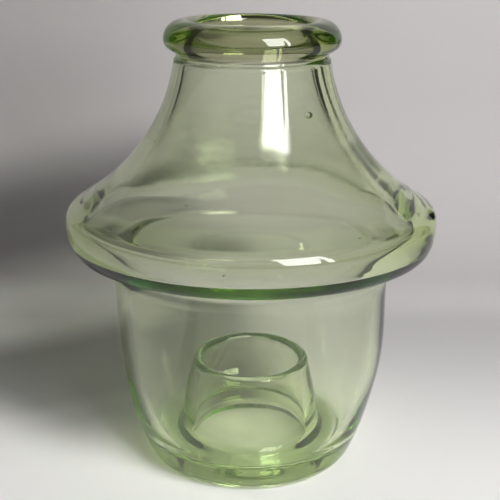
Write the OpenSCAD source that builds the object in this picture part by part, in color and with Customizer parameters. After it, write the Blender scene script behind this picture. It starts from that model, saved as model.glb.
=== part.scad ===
// Glass fly trap: a hand-worked vessel with a rolled lip, a bell-shaped hood, an overhanging
// hollow brim, a round bowl and a funnel that rises from its open base.
// Every section is a revolved profile about the Z axis, standing on z = 0. Sizes are millimetres.

/* [Lip] */
// Outside diameter of the rolled lip
lip_d = 69.8; // [66:0.1:80]
// Height of the rolled lip above the groove
lip_h = 12.6; // [10:0.1:20]
// Height of the lip's widest line above the groove
lip_belly = 5.3; // [4:0.1:8]
// Diameter of the mouth, a plain round bore
mouth_d = 48; // [40:0.1:52]
// Height of the rounding from the bore to the top of the lip
mouth_round = 5.5; // [3:0.1:8]
// Height over which the neck's inside narrows to the bore
mouth_lead = 3; // [1:0.1:4]
// Height of the groove between the lip and the neck
groove_h = 2.2; // [0.8:0.1:3]
// Depth of that groove in the neck
groove_depth = 0.6; // [0.2:0.1:1.5]
// Direction in which the lip leaves the groove, in degrees from straight up
lip_rise = 62; // [45:1:85]

/* [Hood] */
// Outside diameter of the neck at its top
neck_d = 61.6; // [58:0.1:65]
// Height of the hood, from the brim's widest line to the top of the neck
hood_h = 63.8; // [50:0.1:80]
// Wall of the hood's slope
hood_wall = 5.8; // [4:0.1:7]
// Wall of the neck at its top
neck_wall = 5.2; // [4:0.1:6.5]
// Slope of the hood above level, in degrees, where it leaves the shoulder
hood_pitch = 33; // [25:0.5:40]
// Width of the rounded shoulder, inward from the brim's widest line
shoulder_w = 9; // [7:0.1:12]
// Height of the rounded shoulder
shoulder_h = 10; // [8:0.1:13]
// How far the slope runs on inward before it turns up to the neck
slope_run = 20; // [12:0.5:26]
// How far down the neck's line runs before it flares
neck_run = 24; // [15:0.5:32]
// Lean of the neck's side at its top, in degrees from upright
neck_lean = 8; // [3:0.5:14]

/* [Brim] */
// Diameter of the vessel at the brim's widest line
brim_d = 150; // [140:0.5:170]
// Drop from the widest line to where the underside starts
brim_drop = 11.7; // [9:0.1:14]
// Width of the rounding under the brim's edge
brim_roll = 4.7; // [3:0.1:6]
// How far down from the widest line the edge stays upright
edge_run = 3.5; // [2:0.1:6]
// How far out from the underside the edge keeps to its slope
edge_turn = 4; // [1:0.1:5]
// Slope of the underside where it leaves the edge, in degrees from upright
under_lean = 51; // [45:1:65]
// Solid glass at the edge, outside the hollow
brim_edge = 5.6; // [4.5:0.1:7]
// Thickness of the underside
brim_wall = 4.1; // [3:0.1:5]
// Rounding at the fold that ends the hollow
fold_round = 1.3; // [0.5:0.1:3]
// Height over which the underside sweeps down into the bowl
waist_sweep = 11.7; // [10:0.1:16]
// How far in from the edge the underside keeps to its slope
sweep_run = 14; // [8:0.1:15]
// How far up from the bowl the sweep keeps to the wall's line
sweep_rise = 4; // [1:0.1:5]

/* [Bowl] */
// Diameter of the bowl at its top, under the brim
bowl_top_d = 112.6; // [106:0.1:118]
// Height of the bowl's wall between the base and the sweep under the brim
bowl_h = 65; // [55:0.1:80]
// Wall at the top of the bowl
bowl_wall = 4.9; // [3:0.1:6]
// Wall at the bottom of the bowl
bowl_foot_wall = 6.5; // [5:0.1:8]
// How far the wall leans out where it leaves the base, in degrees
bowl_lean = 19.5; // [12:0.5:30]
// How far up the wall keeps to that lean
bowl_rise = 13.8; // [8:0.1:20]
// How far the wall still leans out at its top, in degrees
waist_lean = 1.5; // [0:0.1:5]
// How far down from its top the wall keeps to that lean
waist_run = 29; // [18:0.5:36]

/* [Base] */
// Diameter of the base where the bowl's wall starts
base_d = 95.8; // [90:0.1:102]
// Height of the base
base_h = 15.4; // [13:0.1:18]
// Outside diameter of the flat standing ring
foot_d = 72; // [68:0.5:76]
// Width of the flat standing ring
foot_w = 6; // [3:0.1:7]
// How far the heel runs out level from the standing ring before it turns up
heel_run = 5.7; // [4:0.1:8]
// How far down from the bowl's wall the heel keeps to its lean
heel_rise = 12.9; // [8:0.1:14]
// Least thickness of the glass under the trough
floor_t = 10.8; // [8:0.1:12]

/* [Entry funnel] */
// Height of the funnel's top edge above the table
funnel_top = 43.4; // [34:0.1:60]
// Outside diameter of the funnel where it leaves the base
funnel_base_d = 59.6; // [54:0.1:64]
// Outside diameter of the funnel just below its top edge
funnel_top_d = 48.6; // [40:0.5:54]
// Wall of the funnel at the base
funnel_wall = 5.6; // [4:0.1:7]
// Wall of the funnel at its top edge
funnel_edge = 4.2; // [3:0.1:5.5]
// How far the funnel's side leans in at the base, in degrees
funnel_lean = 8.5; // [3:0.5:12]
// How far the funnel's side leans in below its top edge, in degrees
funnel_top_lean = 15; // [5:0.5:20]

/* [Hidden] */
$fn = 128;

// Glass is deeper in colour where it is thick
thin_glass = [0.73, 0.78, 0.66, 0.55];
thick_glass = [0.42, 0.56, 0.38, 0.70];

// Straight pieces in each curve of a profile
curve_steps = 24;
// Length of a curve's handle for the best quarter of an ellipse, as a share of its semi-axis
quarter = 0.5523;

// Heights of the joints between the sections
waist_z = base_h + bowl_h;
under_z = waist_z + waist_sweep;
brim_z = under_z + brim_drop;
neck_z = brim_z + hood_h;
groove_z = neck_z + groove_h;
lip_z = groove_z + lip_h;

// Radii that more than one section uses
mouth_r = mouth_d / 2;
neck_r = neck_d / 2;
neck_bore_r = neck_r - neck_wall;
groove_r = neck_r - groove_depth;
brim_r = brim_d / 2;
hollow_r = brim_r - brim_edge;
bowl_top_r = bowl_top_d / 2;
base_r = base_d / 2;
foot_r = foot_d / 2;
funnel_base_r = funnel_base_d / 2;
funnel_bore_r = funnel_base_r - funnel_wall;

// Unit vector at an angle from straight up, positive away from the axis
function lean(angle) = [sin(angle), cos(angle)];

// Point on a cubic curve, and its direction there
function curve_at(p, t) =
    pow(1 - t, 3) * p[0] + 3 * t * pow(1 - t, 2) * p[1] + 3 * t * t * (1 - t) * p[2] + pow(t, 3) * p[3];
function curve_dir(p, t) =
    pow(1 - t, 2) * (p[1] - p[0]) + 2 * t * (1 - t) * (p[2] - p[1]) + t * t * (p[3] - p[2]);

// The curve as a run of points
function curve(p) = [for (i = [0:curve_steps]) curve_at(p, i / curve_steps)];

// Handles of the curve that leaves one point along a direction and reaches another along a second one
function handles(from, leave, reach, to, pull_from, pull_to) =
    [from, from + pull_from * leave, to - pull_to * reach, to];

// Part of an ellipse, between two angles from the outward direction
function oval(centre, half, start, end) =
    [for (i = [0:curve_steps]) let (a = start + (end - start) * i / curve_steps)
        centre + [half.x * cos(a), half.y * sin(a)]];

// The same run of points, other way round
function back(run) = [for (i = [len(run) - 1:-1:0]) run[i]];

module turned(profile, tint)
{
    color(tint) rotate_extrude() polygon(profile);
}

// Outline of the bowl's wall and the wall's thickness along it
bowl_line = handles([base_r, base_h], lean(bowl_lean), lean(waist_lean), [bowl_top_r, waist_z],
    bowl_rise, waist_run);
function bowl_wall_at(t) = bowl_wall + (bowl_foot_wall - bowl_wall) * pow(1 - t, 3);

// Outline of the hood: a rounded shoulder, then the slope that turns up into the neck
shoulder_end = [brim_r - shoulder_w, brim_z + shoulder_h];
slope = lean(hood_pitch - 90);
shoulder_line = handles([brim_r, brim_z], lean(0), slope, shoulder_end, shoulder_h / 2, shoulder_w / 2);
flare_line = handles(shoulder_end, slope, lean(-neck_lean), [neck_r, neck_z], slope_run, neck_run);
function flare_wall_at(t) = hood_wall + (neck_wall - hood_wall) * pow(t, 3);

// The rolled ring round the mouth, with a plain bore for a stopper and the groove under it
module rolled_lip()
{
    crown_r = mouth_r + (lip_d / 2 - mouth_r) / 2;
    belly = [crown_r, groove_z + lip_belly];
    bore_end = lip_z - mouth_round;
    roll = handles([groove_r, groove_z], lean(lip_rise), lean(0), [lip_d / 2, belly.y],
        lip_belly * quarter, lip_belly * quarter);
    lead = handles([neck_bore_r, neck_z], lean(0), lean(0), [mouth_r, neck_z + mouth_lead],
        mouth_lead / 2, mouth_lead / 2);
    turned(concat(
        [[groove_r, neck_z]],
        curve(roll),
        oval(belly, [lip_d / 2 - crown_r, lip_z - belly.y], 0, 90),
        oval([crown_r, bore_end], [crown_r - mouth_r, mouth_round], 90, 180),
        back(curve(lead))), thick_glass);
}

// Neck and bell-shaped upper wall
module hood()
{
    inside = [for (i = [0:curve_steps])
        let (t = i / curve_steps, d = curve_dir(flare_line, t))
        curve_at(flare_line, t) - flare_wall_at(t) * [d.y, -d.x] / norm(d)];
    hollow = handles([hollow_r, brim_z], lean(0), slope, inside[0],
        (inside[0].y - brim_z) / 2, (hollow_r - inside[0].x) / 2);
    turned(concat(
        curve(shoulder_line),
        curve(flare_line),
        [[neck_bore_r, neck_z]],
        back(inside),
        back(curve(hollow))), thin_glass);
}

// Folded edge: solid at the rim, hollow behind it, swept down below into the bowl
module brim()
{
    under = lean(under_lean);
    edge = [brim_r - brim_roll, under_z];
    fold = edge + brim_wall * [-under.y, under.x];
    rim = handles([brim_r, brim_z], -lean(0), -under, edge, edge_run, edge_turn);
    outside = handles(edge, -under, -lean(waist_lean), [bowl_top_r, waist_z], sweep_run, sweep_rise);
    inside = handles([bowl_top_r - bowl_wall, waist_z], lean(waist_lean), under, fold,
        sweep_rise + brim_wall * under.y, sweep_run);
    hollow = handles(fold, under, lean(0), [hollow_r, brim_z], fold_round, fold_round);
    turned(concat(curve(rim), curve(outside), curve(inside), curve(hollow)), thick_glass);
}

// Rounded lower wall
module bowl()
{
    inside = [for (i = [0:curve_steps])
        let (t = i / curve_steps) curve_at(bowl_line, t) - [bowl_wall_at(t), 0]];
    turned(concat(curve(bowl_line), back(inside)), thin_glass);
}

// Standing ring with the trough for the bait on its upper side
module base()
{
    foot_in = foot_r - foot_w;
    trough_out = base_r - bowl_foot_wall;
    trough_half = (trough_out - funnel_base_r) / 2;
    heel = handles([foot_r, 0], lean(90), lean(bowl_lean), [base_r, base_h], heel_run, heel_rise);
    throat = handles([foot_in, 0], lean(-90), lean(-funnel_lean), [funnel_bore_r, base_h],
        (foot_in - funnel_bore_r) * quarter, base_h * quarter);
    turned(concat(
        curve(heel),
        oval([trough_out - trough_half, base_h], [trough_half, base_h - floor_t], 0, -180),
        back(curve(throat))), thick_glass);
}

// Pushed-up funnel, open at the top and below
module entry_funnel()
{
    edge_z = funnel_top - funnel_edge / 2;
    edge_r = funnel_top_d / 2;
    side = handles([funnel_base_r, base_h], lean(-funnel_lean), lean(-funnel_top_lean), [edge_r, edge_z],
        (edge_z - base_h) / 3, (edge_z - base_h) / 3);
    inside = [for (i = [0:curve_steps])
        let (t = i / curve_steps)
        curve_at(side, t) - [funnel_wall + (funnel_edge - funnel_wall) * t, 0]];
    turned(concat(
        curve(side),
        oval([edge_r - funnel_edge / 2, edge_z], [funnel_edge / 2, funnel_edge / 2], 0, 180),
        back(inside)), thin_glass);
}

rolled_lip();
hood();
brim();
bowl();
base();
entry_funnel();
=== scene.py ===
import math

import bmesh
import bpy
from mathutils import Matrix, Vector, noise


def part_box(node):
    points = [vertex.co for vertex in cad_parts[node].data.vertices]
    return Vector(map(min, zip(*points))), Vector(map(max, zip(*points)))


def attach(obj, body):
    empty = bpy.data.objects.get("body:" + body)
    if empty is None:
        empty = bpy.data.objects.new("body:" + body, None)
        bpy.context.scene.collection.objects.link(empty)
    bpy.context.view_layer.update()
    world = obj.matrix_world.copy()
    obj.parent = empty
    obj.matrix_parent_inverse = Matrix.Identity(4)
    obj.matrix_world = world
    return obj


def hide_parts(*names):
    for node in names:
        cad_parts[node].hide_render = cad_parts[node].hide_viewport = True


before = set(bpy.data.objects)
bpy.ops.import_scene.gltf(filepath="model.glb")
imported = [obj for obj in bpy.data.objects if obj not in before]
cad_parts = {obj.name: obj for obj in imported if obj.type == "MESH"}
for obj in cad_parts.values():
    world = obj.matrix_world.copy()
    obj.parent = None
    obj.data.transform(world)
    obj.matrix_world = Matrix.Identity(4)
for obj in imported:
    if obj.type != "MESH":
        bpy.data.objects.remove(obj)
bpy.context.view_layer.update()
mm = 0.001
scene = bpy.context.scene
scene.view_settings.view_transform = "Standard"
print("frame loaded with", len(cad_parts), "glass sections")


# camera in front of the vessel and a little above it
cameraSet = {
    "back": 421 * mm,
    "side": -0.4 * mm,
    "height": 219.4 * mm,
    "pitch": 17.25,  # degrees below level
    "roll": 0.35,
    "lens": 76.7,
    "sensor": 36,
    "clipStart": 0.01,
}


def addCamera(opts):
    data = bpy.data.cameras.new("photoCamera")
    data.lens = opts["lens"]
    data.sensor_width = opts["sensor"]
    data.clip_start = opts["clipStart"]
    data.dof.use_dof = False
    cam = bpy.data.objects.new("photoCamera", data)
    turn = Matrix.Rotation(math.radians(90 - opts["pitch"]), 4, "X")
    roll = Matrix.Rotation(math.radians(opts["roll"]), 4, "Z")
    place = Matrix.Translation((opts["side"], -opts["back"], opts["height"]))
    cam.matrix_world = place @ turn @ roll
    scene.collection.objects.link(cam)
    scene.camera = cam


addCamera(cameraSet)
print("camera set")


# paths through thick glass turn many times before they leave it
pathSet = {"glass": 40, "gloss": 24, "clear": 16}
scene.cycles.max_bounces = pathSet["glass"]
scene.cycles.transmission_bounces = pathSet["glass"]
scene.cycles.glossy_bounces = pathSet["gloss"]
scene.cycles.transparent_max_bounces = pathSet["clear"]
scene.cycles.blur_glossy = 0  # window light reaches the table through the glass


# profile helpers, in millimetres, as (radius, height)
def lean(degrees):
    angle = math.radians(degrees)
    return Vector((math.sin(angle), math.cos(angle)))


def bend(start, leave, end, reach, startPull, endPull, steps):
    a, d = Vector(start), Vector(end)
    b = a + leave * startPull
    c = d - reach * endPull
    run = []
    for i in range(steps):
        t = i / steps
        s = 1 - t
        run.append(a * s**3 + b * 3 * t * s**2 + c * 3 * t**2 * s + d * t**3)
    return run


def oval(centre, halfWidth, halfHeight, fromDeg, toDeg, steps):
    run = []
    for i in range(steps):
        a = math.radians(fromDeg + (toDeg - fromDeg) * i / steps)
        run.append(Vector((centre[0] + halfWidth * math.cos(a), centre[1] + halfHeight * math.sin(a))))
    return run


def corners(node):
    low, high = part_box(node)
    return low / mm, high / mm


# the blown wall: sizes in millimetres beside those that the frame gives
vesselSet = {
    "mouthRadius": 24.0,
    "mouthRound": 2.6,
    "mouthCrown": 3.4,
    "mouthLead": 3.0,
    "borePull": 2.0,
    "lipBelly": 5.3,
    "lipRise": 62,
    "grooveHeight": 2.2,
    "grooveDepth": 0.6,
    "grooveTop": [(0, 0), (-0.15, -0.5)],  # out and up from the groove's upper edge
    "grooveFoot": [(-0.1, 0.4), (0.15, 0.1)],  # and from its lower edge
    "neckRadius": 30.8,
    "neckWall": 5.2,
    "neckLean": 8,
    "neckRun": 24,
    "hoodWall": 5.8,
    "hoodSpare": 0.4,  # hand-blown glass is a little heavier there
    "hoodPitch": 33,
    "shoulderWidth": 9.0,
    "shoulderHeight": 10.0,
    "slopeRun": 20,
    "cornerAlong": 5.6,
    "cornerPull": 2.6,
    "cornerDrop": 4.0,
    "brimDrop": 11.7,
    "brimRoll": 4.7,
    "brimWall": 4.8,
    "edgeRun": 3.5,
    "edgeTurn": 4.0,
    "underLean": 80,
    "foldReach": 1.2,
    "foldRound": 0.5,
    "innerTurn": 50.0,
    "parallel": False,
    "turnAlong": 0.7,
    "innerPitch": 46,
    "innerRise": 6.0,
    "innerRun": 6.0,
    "sweepRun": 11.5,
    "sweepRise": 7.0,
    "waistLean": 1.5,
    "bowlTopRadius": 56.3,
    "bowlWall": 4.9,
    "bowlFootWall": 6.5,
    "bowlLean": 19.5,
    "bowlRise": 13.8,
    "waistRun": 29.0,
    "footRadius": 36.0,
    "footWidth": 6.0,
    "footPull": 1.0,
    "heelRun": 5.7,
    "heelRise": 12.9,
    "floorThick": 10.8,
    "funnelTopRadius": 24.3,
    "funnelWall": 5.6,
    "funnelEdge": 4.2,
    "funnelLean": 8.5,
    "funnelTopLean": 15,
    "edgeRough": 1.0,
    "edgeEndRough": 0.4,
    "shiftLeast": 0.25,  # how much of the hollow's side shift is left at the neck
    "shiftFade": 2.2,
    "hollowRipple": 0.3,
    "hoodRipple": 1.0,
    "turns": 240,
}


# the hollow of the brim is rounder at the back
backSet = dict(vesselSet, underLean=51, sweepRun=14.0, sweepRise=4.0, brimWall=4.1,
               parallel=True, innerPitch=90, innerRise=5.0, innerRun=1.6)


# points along each stretch of the outline
stepSet = {
    "mouth": 14, "lip": 14, "lipUnder": 12, "flare": 48, "slope": 3, "shoulder": 14, "brimEdge": 16,
    "underside": 24, "bowl": 30, "heel": 16, "foot": 3, "footInside": 10, "funnel": 18, "funnelEdge": 12,
    "trough": 12, "bowlInside": 30, "brimFloor": 24, "fold": 8, "turn": 10, "hollow": 18,
    "neckInside": 6, "bore": 4,
}
# how much the surface of each stretch wanders
waveSet = {
    "mouth": 0.3, "lip": 0.3, "lipUnder": 0.2, "groove": 0.1, "flare": 0.35, "slope": 0.3, "shoulder": 0.3,
    "brimEdge": 0.3, "underside": 0.25, "bowl": 0.35, "heel": 0.15, "foot": 0.0, "footInside": 0.15,
    "funnel": 0.4, "funnelEdge": 0.4, "trough": 0.3, "bowlInside": 0.9, "brimFloor": 0.6, "fold": 0.4,
    "hollow": 0.6, "hoodInside": 0.9, "neckInside": 0.3, "bore": 0.2,
}
quarterPull = 0.5523  # makes a curve that is close to a quarter circle


def vesselProfile(opts):
    # one closed outline, from the mouth over the outside, up the funnel and back inside
    hoodLow, hoodHigh = corners("hood")
    lipHigh = corners("rolled_lip")[1]
    bowlHigh = corners("bowl")[1]
    baseHigh = corners("base")[1]
    funnelHigh = corners("entry_funnel")[1]
    brimR, brimZ, neckZ = hoodHigh.x, hoodLow.z, hoodHigh.z
    lipR, lipZ, grooveZ = lipHigh.x, lipHigh.z, neckZ + opts["grooveHeight"]
    waistZ, baseZ, baseR = bowlHigh.z, baseHigh.z, baseHigh.x
    funnelR, funnelZ = funnelHigh.x, funnelHigh.z
    up, inward = Vector((0, 1)), Vector((-1, 0))
    mouthR, neckR = opts["mouthRadius"], opts["neckRadius"]
    grooveR = neckR - opts["grooveDepth"]
    run = []

    def add(stretch, points, rough=0.0, shift=0.0, ripple=0.0):
        for p in points:
            run.append((p, waveSet[stretch], rough, shift, ripple))

    def addBend(stretch, *curve, shift=0.0):
        add(stretch, bend(*curve, stepSet[stretch]), shift=shift)

    def addOval(stretch, *curve, rough=0.0):
        add(stretch, oval(*curve, stepSet[stretch]), rough)

    # mouth and lip
    crownR = mouthR + opts["mouthCrown"]
    bellyZ = grooveZ + opts["lipBelly"]
    boreEnd = lipZ - opts["mouthRound"]
    addOval("mouth", (crownR, boreEnd), crownR - mouthR, opts["mouthRound"], 180, 90)
    addOval("lip", (crownR, bellyZ), lipR - crownR, lipZ - bellyZ, 90, 0)
    pull = opts["lipBelly"] * quarterPull
    addBend("lipUnder", (lipR, bellyZ), -up, (grooveR, grooveZ), -lean(opts["lipRise"]), pull, pull)
    # groove and neck
    add("groove", [Vector((grooveR + out, grooveZ + rise)) for out, rise in opts["grooveTop"]])
    add("groove", [Vector((grooveR + out, neckZ + rise)) for out, rise in opts["grooveFoot"]])
    # hood, from the neck down to the shoulder
    slope = lean(opts["hoodPitch"] - 90)
    shoulder = Vector((brimR - opts["shoulderWidth"], brimZ + opts["shoulderHeight"]))
    flare = bend((neckR, neckZ), -lean(-opts["neckLean"]), shoulder, -slope,
                 opts["neckRun"], opts["slopeRun"], stepSet["flare"])
    add("flare", flare)
    corner = shoulder - slope * opts["cornerAlong"]
    third = opts["cornerAlong"] / 3
    addBend("slope", shoulder, -slope, corner, -slope, third, third)
    addBend("shoulder", corner, -slope, (brimR, brimZ), -up, opts["cornerPull"], opts["cornerDrop"])
    # brim edge, then its underside down to the tight corner over the bowl
    under, wallUp = lean(opts["underLean"]), lean(opts["waistLean"])
    edge = Vector((brimR - opts["brimRoll"], brimZ - opts["brimDrop"]))
    bowlR, bowlLean = opts["bowlTopRadius"], lean(opts["bowlLean"])
    addBend("brimEdge", (brimR, brimZ), -up, edge, -under, opts["edgeRun"], opts["edgeTurn"])
    addBend("underside", edge, -under, (bowlR, waistZ), -wallUp, opts["sweepRun"], opts["sweepRise"])
    # outside of the bowl, heel and standing ring
    addBend("bowl", (bowlR, waistZ), -wallUp, (baseR, baseZ), -bowlLean, opts["waistRun"], opts["bowlRise"])
    footR, boreR = opts["footRadius"], funnelR - opts["funnelWall"]
    footIn = footR - opts["footWidth"]
    addBend("heel", (baseR, baseZ), -bowlLean, (footR, 0), inward, opts["heelRise"], opts["heelRun"])
    addBend("foot", (footR, 0), inward, (footIn, 0), inward, opts["footPull"], opts["footPull"])
    addBend("footInside", (footIn, 0), inward, (boreR, baseZ), lean(-opts["funnelLean"]),
            (footIn - boreR) * quarterPull, baseZ * quarterPull)
    # funnel: inside, pierced edge, outside
    edgeR, edgeZ = opts["funnelTopRadius"], funnelZ - opts["funnelEdge"] / 2
    pull = (edgeZ - baseZ) / 3
    side = bend((funnelR, baseZ), lean(-opts["funnelLean"]), (edgeR, edgeZ),
                lean(-opts["funnelTopLean"]), pull, pull, stepSet["funnel"])
    half = opts["funnelEdge"] / 2
    taper = (opts["funnelEdge"] - opts["funnelWall"]) / len(side)
    add("funnel", [p - Vector((opts["funnelWall"] + taper * i, 0)) for i, p in enumerate(side)])
    addOval("funnelEdge", (edgeR - half, edgeZ), half, half, 180, 0, rough=opts["edgeRough"])
    add("funnelEdge", [Vector((edgeR, edgeZ))], opts["edgeEndRough"])
    add("funnel", reversed(side[1:]))
    # trough and inside of the bowl
    troughOut = baseR - opts["bowlFootWall"]
    half = (troughOut - funnelR) / 2
    addOval("trough", (troughOut - half, baseZ), half, baseZ - opts["floorThick"], -180, 0)
    wall = bend((baseR, baseZ), bowlLean, (bowlR, waistZ), wallUp, opts["bowlRise"],
                opts["waistRun"], stepSet["bowlInside"])
    spare = opts["bowlFootWall"] - opts["bowlWall"]
    for i, p in enumerate(wall):
        add("bowlInside", [p - Vector((opts["bowlWall"] + spare * (1 - i / len(wall))**3, 0))])
    # inside of the underside, then the fold that ends the hollow
    fold = edge + Vector((-under.y, under.x)) * opts["brimWall"] + under * opts["foldReach"]
    floor = bend((bowlR - opts["bowlWall"], waistZ), wallUp, fold, under,
                 opts["sweepRise"] + opts["brimWall"] * under.y, opts["sweepRun"], stepSet["brimFloor"])
    for i, p in enumerate(floor):
        add("brimFloor", [p], shift=i / len(floor))
    tip = fold + up * opts["foldRound"]
    back = lean(opts["innerPitch"] - 90)
    addBend("fold", fold, under, tip, back, opts["foldRound"], opts["foldRound"], shift=1)
    # inside of the hood, up to the mouth
    inside = []
    for i in range(1, len(flare)):
        along = (flare[i] - flare[i - 1]).normalized()
        t = 1 - i / len(flare)
        wallHere = opts["hoodWall"] + opts["hoodSpare"] + (opts["neckWall"] - opts["hoodWall"]) * t**3
        inside.append((flare[i] + flare[i - 1]) / 2 + Vector((along.y, -along.x)) * wallHere)
    inside.reverse()
    upper = [p for p in inside if p.x < opts["innerTurn"]]
    count = stepSet["hollow"]
    if opts["parallel"]:
        turn = inside[0] - slope * opts["cornerAlong"] * opts["turnAlong"]
        path = bend(tip, back, turn, slope, opts["innerRise"], opts["innerRun"], stepSet["turn"])
        path += inside[:len(inside) - len(upper)]
        path = [path[i * len(path) // count] for i in range(count)]
    else:
        reach = (upper[1] - upper[0]).normalized()
        path = bend(tip, back, upper[0], reach, opts["innerRise"], opts["innerRun"], count)
    add("hollow", path, shift=1, ripple=opts["hollowRipple"])
    for i, p in enumerate(upper):
        left = max(opts["shiftLeast"], 1 - opts["shiftFade"] * i / len(upper))
        add("hoodInside", [p], shift=left, ripple=opts["hoodRipple"])
    lead = opts["mouthLead"]
    addBend("neckInside", (neckR - opts["neckWall"], neckZ), up, (mouthR, neckZ + lead), up,
            lead / 2, lead / 2)
    addBend("bore", (mouthR, neckZ + lead), up, (mouthR, boreEnd), up, opts["borePull"], opts["borePull"])
    return run


# hand-worked unevenness, in millimetres
unevenSet = {
    "longWave": 42.0,
    "longDepth": 0.32,
    "longFrom": (3.7, 1.2, 8.4),
    "shortWave": 15.0,
    "shortDepth": 0.07,
    "shortFrom": (9.1, 4.4, 2.6),
    "edgeWave": 5.0,
    "edgeDepth": 0.6,
    "edgeFrom": (5.5, 7.3, 0.8),
    "edgeRadius": 24.0,
    "edgeLeast": 0.2,  # the pierced edge of the funnel is smooth in front and rough at the back
    "edgeMiddle": 0.3,
    "edgeTilt": 1.2,  # and it is higher at the back
    "tiltWithin": 30.0,
    "tiltBelow": 50.0,
    "tiltFrom": 26.0,
    "tiltOver": 14.0,
    "backFrom": -0.25,  # where the front's shape of the hollow begins to give way to the back's
    "backOver": 0.5,
    "sideShift": 1.8,  # how far the hollow of hood and brim lies left of the axis
    "bulge": 1.2,  # the bowl is fuller on the right
    "bulgeFrom": 18.0,
    "bulgeTo": 76.0,
    "bulgeOutside": 34.0,
    "bulgeOver": 8.0,
    "weld": 0.01,
}


# bubbles and seeds caught in the wall: degrees from the front, height, distance from the axis, half sizes
seedSet = {
    "detail": 3,
    "seeds": [
        (38.3, 149.3, 33.3, (1.7, 0.35, 1.3)),
        (-25.4, 119.8, 54.0, (0.45, 0.3, 0.35)),
        (34.2, 110.2, 68.3, (0.5, 0.3, 0.3)),
        (-7.4, 101.9, 72.3, (0.4, 0.3, 0.35)),
        (-4.7, 10.4, 43.0, (0.6, 0.4, 0.4)),
        (-74.0, 136.6, 40.0, (0.5, 0.35, 0.45)),
    ],
}


def addSeeds(bm, opts):
    for degrees, height, out, half in opts["seeds"]:
        turn = Matrix.Rotation(math.radians(degrees), 4, "Z")
        place = Matrix.Translation(Vector((0, -out, height)) * mm)
        stretch = Matrix.Diagonal([size * mm for size in half]).to_4x4()
        made = bmesh.ops.create_icosphere(bm, subdivisions=opts["detail"], radius=1,
                                          matrix=turn @ place @ stretch)
        # the surface of a hollow faces into it
        bmesh.ops.reverse_faces(bm, faces=list({f for v in made["verts"] for f in v.link_faces}))


def limit(value, low=0.0):
    return max(low, min(1, value))


def unevenShift(at, normal, given, opts):
    # how far one point of the turned wall moves
    long = noise.noise(at / opts["longWave"] + Vector(opts["longFrom"]))
    short = noise.noise(at / opts["shortWave"] + Vector(opts["shortFrom"]))
    edge = noise.noise(at / opts["edgeWave"] + Vector(opts["edgeFrom"]))
    out, rear = at.xy.length, at.y / opts["edgeRadius"]
    depth = given["wave"] * (long * opts["longDepth"] + short * opts["shortDepth"])
    depth += given["rough"] * edge * opts["edgeDepth"] * limit(opts["edgeMiddle"] + rear, opts["edgeLeast"])
    shift = normal * depth
    if out < opts["tiltWithin"] and at.z < opts["tiltBelow"]:
        shift.z += opts["edgeTilt"] * rear * limit((at.z - opts["tiltFrom"]) / opts["tiltOver"])
    behind = limit((at.y / out - opts["backFrom"]) / opts["backOver"])
    behind = behind * behind * (3 - 2 * behind)
    shift += Vector((at.x, at.y, 0)).normalized() * given["backOut"] * behind
    shift.z += given["backUp"] * behind
    shift.x -= given["shift"] * opts["sideShift"]
    along = (at.z - opts["bulgeFrom"]) / (opts["bulgeTo"] - opts["bulgeFrom"])
    if 0 < along < 1 and at.x > 0:
        fuller = math.sin(math.pi * along)**2 * (at.x / out)**2
        shift.x += opts["bulge"] * fuller * limit((out - opts["bulgeOutside"]) / opts["bulgeOver"])
    return shift


def makeVessel(opts, backOpts, uneven, seeds):
    bm = bmesh.new()
    names = ("backOut", "backUp", "wave", "rough", "shift", "ripple")
    layers = {name: bm.verts.layers.float.new(name) for name in names}
    ring = []
    for here, there in zip(vesselProfile(opts), vesselProfile(backOpts)):
        point = here[0]
        vert = bm.verts.new((point.x * mm, 0, point.y * mm))
        values = (there[0].x - point.x, there[0].y - point.y) + here[1:]
        for name, value in zip(names, values):
            vert[layers[name]] = value
        ring.append(vert)
    edges = [bm.edges.new((ring[i - 1], ring[i])) for i in range(len(ring))]
    bmesh.ops.spin(bm, geom=ring + edges, cent=(0, 0, 0), axis=(0, 0, 1), dvec=(0, 0, 0),
                   angle=math.tau, steps=opts["turns"], use_merge=True)
    bmesh.ops.remove_doubles(bm, verts=bm.verts[:], dist=uneven["weld"] * mm)
    bmesh.ops.recalc_face_normals(bm, faces=bm.faces[:])
    bm.normal_update()
    shifts = []
    for vert in bm.verts:
        given = {name: vert[layers[name]] for name in names}
        shifts.append(unevenShift(vert.co / mm, vert.normal, given, uneven) * mm)
    for vert, shift in zip(bm.verts, shifts):
        vert.co += shift
    addSeeds(bm, seeds)
    for face in bm.faces:
        face.smooth = True
    mesh = bpy.data.meshes.new("glass_vessel")
    bm.to_mesh(mesh)
    bm.free()
    obj = bpy.data.objects.new("glass_vessel", mesh)
    scene.collection.objects.link(obj)
    return obj


vessel = makeVessel(vesselSet, backSet, unevenSet, seedSet)
print("vessel turned:", len(vessel.data.polygons), "faces")


# shader helpers
def addRange(nodes, low, high, smooth=True):
    part = nodes.new("ShaderNodeMapRange")
    part.interpolation_type = "SMOOTHSTEP" if smooth else "LINEAR"
    part.inputs["From Min"].default_value = low
    part.inputs["From Max"].default_value = high
    return part


def addStep(nodes, kind, operation, second=None):
    step = nodes.new(kind)
    step.operation = operation
    if second is not None:
        step.inputs[1].default_value = second
    return step


def addNoise(nodes, scale, detail):
    pattern = nodes.new("ShaderNodeTexNoise")
    pattern.inputs["Scale"].default_value = scale
    pattern.inputs["Detail"].default_value = detail
    return pattern


def fillRamp(ramp, levels):
    stops = ramp.color_ramp.elements
    for i, (at, level) in enumerate(levels):
        stop = stops[i] if i < 2 else stops.new(at)
        stop.position = at
        stop.color = (level, level, level, 1)


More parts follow.
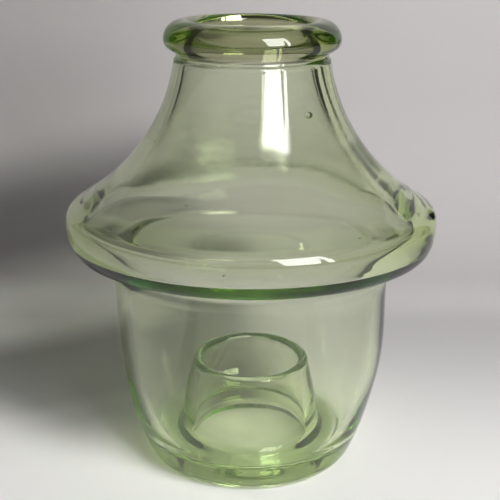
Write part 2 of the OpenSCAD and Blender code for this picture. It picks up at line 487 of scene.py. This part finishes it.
def blendTone(nodes, links, along, start, end):
    # a colour mix that runs from A to B along one axis
    fade = addRange(nodes, start, end)
    tone = nodes.new("ShaderNodeMix")
    tone.data_type = "RGBA"
    links.new(along, fade.inputs["Value"])
    links.new(fade.outputs["Result"], tone.inputs["Factor"])
    return tone


# bottle-green glass, tinted by its own thickness, deeper in the lip and foot
glassSet = {
    "ior": 1.5,
    "tint": (0.60, 0.755, 0.175, 1),
    "density": 40.0,
    "clear": (1, 1, 1, 1),
    "lipColour": (0.62, 0.605, 0.49, 1),
    "footColour": (0.87, 0.93, 0.82, 1),
    "lipFrom": 167 * mm,
    "lipTo": 171 * mm,
    "footFrom": 16 * mm,
    "footTo": 7 * mm,
    "grain": (1600, 2),  # scale and detail of each pattern
    "patch": (38, 3),
    "turned": (1, 2),
    "turnedScale": (28, 28, 420),
    "speck": (0.45, 0.75),
    "worn": (0.54, 0.70),
    "haze": 0.16,
    "ripple": 0.05 * mm,
    "pebble": 0.02 * mm,
    "pebbleBand": [(0.116, 0), (0.128, 1), (0.143, 1), (0.151, 0)],  # height in metres, and how strong
}


def makeGlass(opts):
    mat = bpy.data.materials.new("green_glass")
    mat.use_nodes = True
    nodes, links = mat.node_tree.nodes, mat.node_tree.links
    nodes.clear()
    out = nodes.new("ShaderNodeOutputMaterial")
    glass = nodes.new("ShaderNodeBsdfPrincipled")
    glass.inputs["IOR"].default_value = opts["ior"]
    glass.inputs["Transmission Weight"].default_value = 1
    links.new(glass.outputs["BSDF"], out.inputs["Surface"])
    place = nodes.new("ShaderNodeTexCoord")
    axes = nodes.new("ShaderNodeSeparateXYZ")
    links.new(place.outputs["Object"], axes.inputs["Vector"])
    # deeper colour set into the lip and a paler tint into the foot, blended in by height
    lip = blendTone(nodes, links, axes.outputs["Z"], opts["lipFrom"], opts["lipTo"])
    lip.inputs["A"].default_value = opts["clear"]
    lip.inputs["B"].default_value = opts["lipColour"]
    foot = blendTone(nodes, links, axes.outputs["Z"], opts["footTo"], opts["footFrom"])
    foot.inputs["A"].default_value = opts["footColour"]
    links.new(lip.outputs["Result"], foot.inputs["B"])
    links.new(foot.outputs["Result"], glass.inputs["Base Color"])
    # dusty patches: fine grain that shows only here and there
    grain = addNoise(nodes, *opts["grain"])
    patch = addNoise(nodes, *opts["patch"])
    speck = addRange(nodes, *opts["speck"], smooth=False)
    worn = addRange(nodes, *opts["worn"])
    worn.inputs["To Max"].default_value = opts["haze"]
    dull = addStep(nodes, "ShaderNodeMath", "MULTIPLY")
    links.new(place.outputs["Object"], grain.inputs["Vector"])
    links.new(place.outputs["Object"], patch.inputs["Vector"])
    links.new(grain.outputs["Fac"], speck.inputs["Value"])
    links.new(patch.outputs["Fac"], worn.inputs["Value"])
    links.new(speck.outputs["Result"], dull.inputs[0])
    links.new(worn.outputs["Result"], dull.inputs[1])
    links.new(dull.outputs["Value"], glass.inputs["Roughness"])
    # level ripples left by turning the hot glass
    squeeze = nodes.new("ShaderNodeMapping")
    squeeze.inputs["Scale"].default_value = opts["turnedScale"]
    turned = addNoise(nodes, *opts["turned"])
    ripple = nodes.new("ShaderNodeBump")
    ripple.inputs["Distance"].default_value = opts["ripple"]
    where = nodes.new("ShaderNodeAttribute")
    where.attribute_name = "ripple"
    links.new(where.outputs["Fac"], ripple.inputs["Strength"])
    links.new(place.outputs["Object"], squeeze.inputs["Vector"])
    links.new(squeeze.outputs["Vector"], turned.inputs["Vector"])
    links.new(turned.outputs["Fac"], ripple.inputs["Height"])
    # fine pebbling on the flare of the hood
    low, high = opts["pebbleBand"][0][0], opts["pebbleBand"][-1][0]
    rise = addRange(nodes, low, high, smooth=False)
    band = nodes.new("ShaderNodeValToRGB")
    fillRamp(band, [((at - low) / (high - low), level) for at, level in opts["pebbleBand"]])
    pebble = nodes.new("ShaderNodeBump")
    pebble.inputs["Distance"].default_value = opts["pebble"]
    links.new(axes.outputs["Z"], rise.inputs["Value"])
    links.new(rise.outputs["Result"], band.inputs["Fac"])
    links.new(band.outputs["Color"], pebble.inputs["Strength"])
    links.new(grain.outputs["Fac"], pebble.inputs["Height"])
    links.new(ripple.outputs["Normal"], pebble.inputs["Normal"])
    links.new(pebble.outputs["Normal"], glass.inputs["Normal"])
    # the tint deepens along the way that light takes through the wall
    soak = nodes.new("ShaderNodeVolumeAbsorption")
    soak.inputs["Color"].default_value = opts["tint"]
    soak.inputs["Density"].default_value = opts["density"]
    links.new(soak.outputs["Volume"], out.inputs["Volume"])
    return mat


greenGlass = makeGlass(glassSet)
vessel.data.materials.append(greenGlass)
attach(vessel, "root")
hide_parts("rolled_lip", "hood", "brim", "bowl", "base", "entry_funnel")
print("glass made")


# table under the vessel, and a sheet behind it that turns up into a backdrop
tableSet = {
    "radius": 4.0,
    "segments": 96,
    "drop": 0.2 * mm,
    "roughness": 0.9,
    # painted falloff of the window light: paler in front, darker towards the back
    "near": (0.80, 0.79, 0.775, 1),
    "far": (0.485, 0.475, 0.47, 1),
    "nearAt": -50 * mm,
    "farAt": 150 * mm,
}
backdropSet = {
    "start": 150 * mm,
    "behind": 262 * mm,
    "left": -345 * mm,
    "right": 345 * mm,
    "height": 620 * mm,
    "steps": 24,
    # painted shade: the wall is darker to the left, away from the window
    "leftColour": (0.30, 0.286, 0.286, 1),
    "rightColour": (0.395, 0.377, 0.381, 1),
    "leftAt": -180 * mm,
    "rightAt": 50 * mm,
    "fadeTo": 12 * mm,
    "dark": (0.02, 0.02, 0.022, 1),  # a painted dark patch out of the picture, standing in for the unlit room, which the glass bends into view
    "darkAt": (224 * mm, 262 * mm, 118 * mm),
    "darkSize": (34 * mm, 1.0, 56 * mm),
    "darkSoft": (0.7, 1.1),
}


# the vessel's shadow painted on the paper as a soft painted shade: place along its reach, and how much
# painted light is left there
paintedShadeSet = {
    "azimuth": 29.5,
    "elevation": 29,
    "spread": 0.35,
    "widest": 52 * mm,
    "middle": -15 * mm,
    "core": 20 * mm,
    "edge": 65 * mm,
    "reach": 0.5,
    "start": -20 * mm,
    "light": [(0.05, 1.0), (0.17, 0.44), (0.21, 0.36), (0.32, 0.36), (0.41, 1.0), (0.50, 1.0),
              (0.66, 0.42), (0.75, 0.40), (0.96, 1.0)],
}


def paintedShadeGroup(opts):
    group = bpy.data.node_groups.new("paintedVesselShade", "ShaderNodeTree")
    group.interface.new_socket("Place", in_out="INPUT", socket_type="NodeSocketVector")
    group.interface.new_socket("Tone", in_out="INPUT", socket_type="NodeSocketColor")
    group.interface.new_socket("Tone", in_out="OUTPUT", socket_type="NodeSocketColor")
    nodes, links = group.nodes, group.links
    enter = nodes.new("NodeGroupInput")
    leave = nodes.new("NodeGroupOutput")
    turn = math.radians(opts["azimuth"])
    fall = 1 / math.tan(math.radians(opts["elevation"]))
    # how far out from the foot, and how much painted light is left there
    away = addStep(nodes, "ShaderNodeVectorMath", "DOT_PRODUCT", (-math.sin(turn), math.cos(turn), fall))
    run = addRange(nodes, opts["start"], opts["start"] + opts["reach"], smooth=False)
    light = nodes.new("ShaderNodeValToRGB")
    light.color_ramp.interpolation = "EASE"
    fillRamp(light, opts["light"])
    # how far to the side of the painted shade's middle, which widens on the way out
    across = addStep(nodes, "ShaderNodeVectorMath", "DOT_PRODUCT", (math.cos(turn), math.sin(turn), 0))
    shifted = addStep(nodes, "ShaderNodeMath", "SUBTRACT", opts["middle"])
    width = addStep(nodes, "ShaderNodeMath", "ABSOLUTE")
    wider = addRange(nodes, 0, opts["widest"] / opts["spread"], smooth=False)
    wider.inputs["To Max"].default_value = opts["widest"]
    beyond = addStep(nodes, "ShaderNodeMath", "SUBTRACT")
    edge = addRange(nodes, opts["edge"], opts["core"])
    dim = nodes.new("ShaderNodeMix")
    dim.data_type = "RGBA"
    dim.blend_type = "MULTIPLY"
    links.new(enter.outputs["Place"], away.inputs[0])
    links.new(enter.outputs["Place"], across.inputs[0])
    links.new(away.outputs["Value"], run.inputs["Value"])
    links.new(run.outputs["Result"], light.inputs["Fac"])
    links.new(across.outputs["Value"], shifted.inputs[0])
    links.new(shifted.outputs["Value"], width.inputs[0])
    links.new(away.outputs["Value"], wider.inputs["Value"])
    links.new(width.outputs["Value"], beyond.inputs[0])
    links.new(wider.outputs["Result"], beyond.inputs[1])
    links.new(beyond.outputs["Value"], edge.inputs["Value"])
    links.new(edge.outputs["Result"], dim.inputs["Factor"])
    links.new(enter.outputs["Tone"], dim.inputs["A"])
    links.new(light.outputs["Color"], dim.inputs["B"])
    links.new(dim.outputs["Result"], leave.inputs["Tone"])
    return group


# darkens a stage colour by the vessel's painted shadow
def addPaintedShade(nodes, links, group, place, tone, target):
    shade = nodes.new("ShaderNodeGroup")
    shade.node_tree = group
    links.new(place.outputs["Object"], shade.inputs["Place"])
    links.new(tone.outputs["Result"], shade.inputs["Tone"])
    links.new(shade.outputs["Tone"], target)


def stageObject(name, bm, mat):
    mesh = bpy.data.meshes.new(name)
    bm.to_mesh(mesh)
    bm.free()
    mesh.materials.append(mat)
    obj = bpy.data.objects.new(name, mesh)
    scene.collection.objects.link(obj)


def makeTable(opts, shade):
    bm = bmesh.new()
    bmesh.ops.create_circle(bm, cap_ends=True, segments=opts["segments"], radius=opts["radius"])
    bmesh.ops.translate(bm, verts=bm.verts[:], vec=(0, 0, -opts["drop"]))
    mat = bpy.data.materials.new("table_paper")
    mat.use_nodes = True
    nodes, links = mat.node_tree.nodes, mat.node_tree.links
    paper = nodes["Principled BSDF"]
    paper.inputs["Roughness"].default_value = opts["roughness"]
    place = nodes.new("ShaderNodeTexCoord")
    axes = nodes.new("ShaderNodeSeparateXYZ")
    links.new(place.outputs["Object"], axes.inputs["Vector"])
    # painted light falloff: the paper is paler in front and darker towards the back
    tone = blendTone(nodes, links, axes.outputs["Y"], opts["nearAt"], opts["farAt"])
    tone.inputs["A"].default_value = opts["near"]
    tone.inputs["B"].default_value = opts["far"]
    addPaintedShade(nodes, links, shade, place, tone, paper.inputs["Base Color"])
    stageObject("table", bm, mat)


def backdropPaper(opts, paper, shade):
    # paper tone at the table, darker up the wall, painted darker to the left as shade, with a painted dark
    # patch and the vessel's painted shadow, and clear when seen from behind
    mat = bpy.data.materials.new("backdrop_paper")
    mat.use_nodes = True
    nodes, links = mat.node_tree.nodes, mat.node_tree.links
    nodes.clear()
    out = nodes.new("ShaderNodeOutputMaterial")
    place = nodes.new("ShaderNodeTexCoord")
    axes = nodes.new("ShaderNodeSeparateXYZ")
    links.new(place.outputs["Object"], axes.inputs["Vector"])
    # painted shade: darker to the left, away from the window
    across = blendTone(nodes, links, axes.outputs["X"], opts["leftAt"], opts["rightAt"])
    across.inputs["A"].default_value = opts["leftColour"]
    across.inputs["B"].default_value = opts["rightColour"]
    tone = blendTone(nodes, links, axes.outputs["Z"], 0, opts["fadeTo"])
    tone.inputs["A"].default_value = paper["far"]
    links.new(across.outputs["Result"], tone.inputs["B"])
    # painted dark patch standing in for the unlit room, which the glass bends into view
    away = addStep(nodes, "ShaderNodeVectorMath", "SUBTRACT", opts["darkAt"])
    scaled = addStep(nodes, "ShaderNodeVectorMath", "DIVIDE", opts["darkSize"])
    reach = addStep(nodes, "ShaderNodeVectorMath", "LENGTH")
    links.new(place.outputs["Object"], away.inputs[0])
    links.new(away.outputs["Vector"], scaled.inputs[0])
    links.new(scaled.outputs["Vector"], reach.inputs[0])
    wall = blendTone(nodes, links, reach.outputs["Value"], *opts["darkSoft"])
    wall.inputs["A"].default_value = opts["dark"]
    links.new(tone.outputs["Result"], wall.inputs["B"])
    sheet = nodes.new("ShaderNodeBsdfDiffuse")
    clear = nodes.new("ShaderNodeBsdfTransparent")
    side = nodes.new("ShaderNodeNewGeometry")
    pick = nodes.new("ShaderNodeMixShader")
    addPaintedShade(nodes, links, shade, place, wall, sheet.inputs["Color"])
    links.new(side.outputs["Backfacing"], pick.inputs["Fac"])
    links.new(sheet.outputs["BSDF"], pick.inputs[1])
    links.new(clear.outputs["BSDF"], pick.inputs[2])
    links.new(pick.outputs["Shader"], out.inputs["Surface"])
    return mat


def makeBackdrop(opts, paper, shade):
    radius, steps = opts["behind"] - opts["start"], opts["steps"]
    bm = bmesh.new()
    edge = []
    for i in range(steps + 1):
        a = math.radians(90 * i / steps)
        edge.append(bm.verts.new((opts["left"], opts["start"] + radius * math.sin(a),
                                  radius * (1 - math.cos(a)))))
    edge.append(bm.verts.new((opts["left"], opts["behind"], opts["height"])))
    lines = [bm.edges.new((edge[i], edge[i + 1])) for i in range(len(edge) - 1)]
    wide = bmesh.ops.extrude_edge_only(bm, edges=lines)
    moved = [v for v in wide["geom"] if isinstance(v, bmesh.types.BMVert)]
    bmesh.ops.translate(bm, verts=moved, vec=(opts["right"] - opts["left"], 0, 0))
    bm.normal_update()
    # the paper's face looks up and to the front
    if sum(f.normal.z - f.normal.y for f in bm.faces) < 0:
        bmesh.ops.reverse_faces(bm, faces=bm.faces[:])
    for face in bm.faces:
        face.smooth = True
    stageObject("backdrop", bm, backdropPaper(opts, paper, shade))


paintedVesselShade = paintedShadeGroup(paintedShadeSet)
makeTable(tableSet, paintedVesselShade)
makeBackdrop(backdropSet, tableSet, paintedVesselShade)


# a tall window to the right behind the camera, in two lights of glass, and a dim room
windowSet = {
    "away": 1.3,
    "aimHeight": 0.09,
    "radiance": 15.5,
    "elevation": 29,
    "height": 0.95,
    "panes": [(29.5, 0.50), (46.5, 0.10)],  # azimuth and width of each pane
}
roomSet = {"colour": (1.0, 0.985, 0.99, 1), "level": 0.025, "overhead": 0.12, "overheadFrom": 0.15}


def addWindow(opts):
    rise = math.radians(opts["elevation"])
    for azimuth, width in opts["panes"]:
        data = bpy.data.lights.new("window", "AREA")
        data.shape = "RECTANGLE"
        data.size, data.size_y = width, opts["height"]
        data.energy = opts["radiance"] * math.pi * width * opts["height"]
        lamp = bpy.data.objects.new("window", data)
        turn = math.radians(azimuth)
        aim = Vector((math.sin(turn) * math.cos(rise), -math.cos(turn) * math.cos(rise), math.sin(rise)))
        lamp.location = aim * opts["away"] + Vector((0, 0, opts["aimHeight"]))
        lamp.rotation_euler = aim.to_track_quat("Z", "Y").to_euler()
        scene.collection.objects.link(lamp)


def addRoom(opts):
    world = bpy.data.worlds.new("room")
    world.use_nodes = True
    nodes, links = world.node_tree.nodes, world.node_tree.links
    back = nodes["Background"]
    back.inputs["Color"].default_value = opts["colour"]
    place = nodes.new("ShaderNodeTexCoord")
    axes = nodes.new("ShaderNodeSeparateXYZ")
    rise = addRange(nodes, opts["overheadFrom"], 1, smooth=False)
    rise.inputs["To Min"].default_value = opts["level"]
    rise.inputs["To Max"].default_value = opts["overhead"]
    links.new(place.outputs["Generated"], axes.inputs["Vector"])
    links.new(axes.outputs["Z"], rise.inputs["Value"])
    links.new(rise.outputs["Result"], back.inputs["Strength"])
    scene.world = world


addWindow(windowSet)
addRoom(roomSet)
print("table, window and room added")
